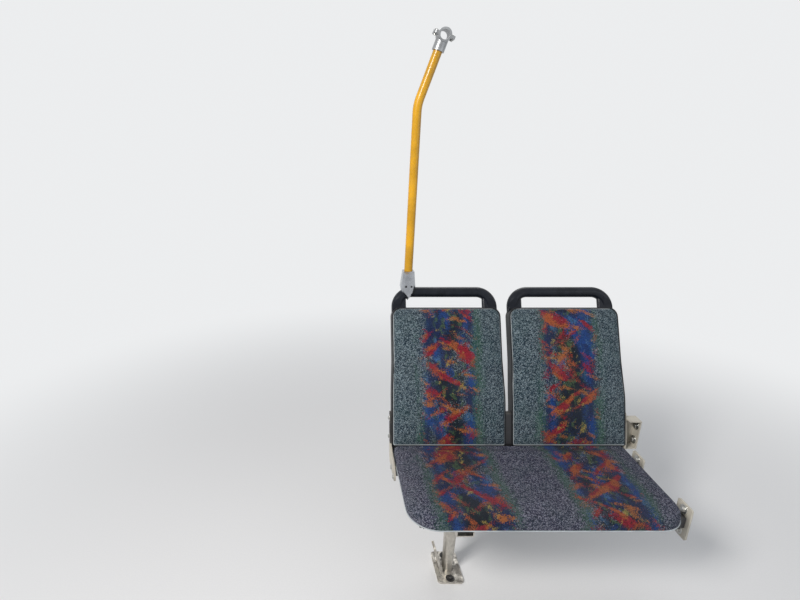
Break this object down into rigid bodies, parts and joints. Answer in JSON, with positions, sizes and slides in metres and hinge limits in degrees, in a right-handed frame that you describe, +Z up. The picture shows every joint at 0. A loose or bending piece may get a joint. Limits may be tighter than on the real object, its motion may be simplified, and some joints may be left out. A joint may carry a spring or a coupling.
{
  "type": "twin bus passenger seat with stanchion pole",
  "caption": "Fixed twin passenger seat for a bus, on a floor leg and wall brackets, with padded backs, moulded grab handles and a bent stanchion pole up to a ceiling clamp.",
  "frame": {"origin": "centre of the leg's foot plate, on the vehicle's floor", "axes": "+Z up; the passengers face -Y; +X runs from the aisle to the side wall"},
  "size_m": [0.938, 0.7039, 1.907],
  "materials": {
    "cushion_cloth": "speckled woven moquette, patterned stripes",
    "back_cloth": "speckled woven moquette, patterned stripe",
    "shell_plastic": "fine grained black moulding",
    "grip_plastic": "satin black moulding, worn on top",
    "pole_paint": "golden yellow powder coat",
    "shoe_metal": "polished casting",
    "clamp_metal": "satin grey casting",
    "leg_steel": "brushed stainless steel",
    "frame_paint": "satin grey paint",
    "bracket_paint": "pale grey beige paint",
    "arm_paint": "satin black paint"
  },
  "bodies": {
    "root": {"cushion_pad": "cushion_cloth", "cushion_pan": "frame_paint", "seat_rib_aisle": "frame_paint", "seat_rib_middle": "frame_paint", "seat_rib_window": "frame_paint", "front_beam": "frame_paint", "rear_beam": "frame_paint", "wall_bracket_front": "bracket_paint", "wall_bracket_rear": "bracket_paint", "wall_bracket_back": "bracket_paint", "back_arm_aisle": "bracket_paint", "back_arm_middle": "arm_paint", "back_arm_window": "bracket_paint", "leg_foot": "leg_steel", "leg_post": "leg_steel", "leg_head": "leg_steel", "back_shell_aisle": "shell_plastic", "back_shell_window": "shell_plastic", "back_pad_aisle": "back_cloth", "back_pad_window": "back_cloth", "grab_handle_aisle": "grip_plastic", "grab_handle_window": "grip_plastic", "stanchion_pole": "pole_paint", "pole_shoe_front": "shoe_metal", "pole_shoe_rear": "shoe_metal", "ceiling_clamp_body": "clamp_metal", "ceiling_clamp_cap": "clamp_metal"}
  },
  "joints": []
}
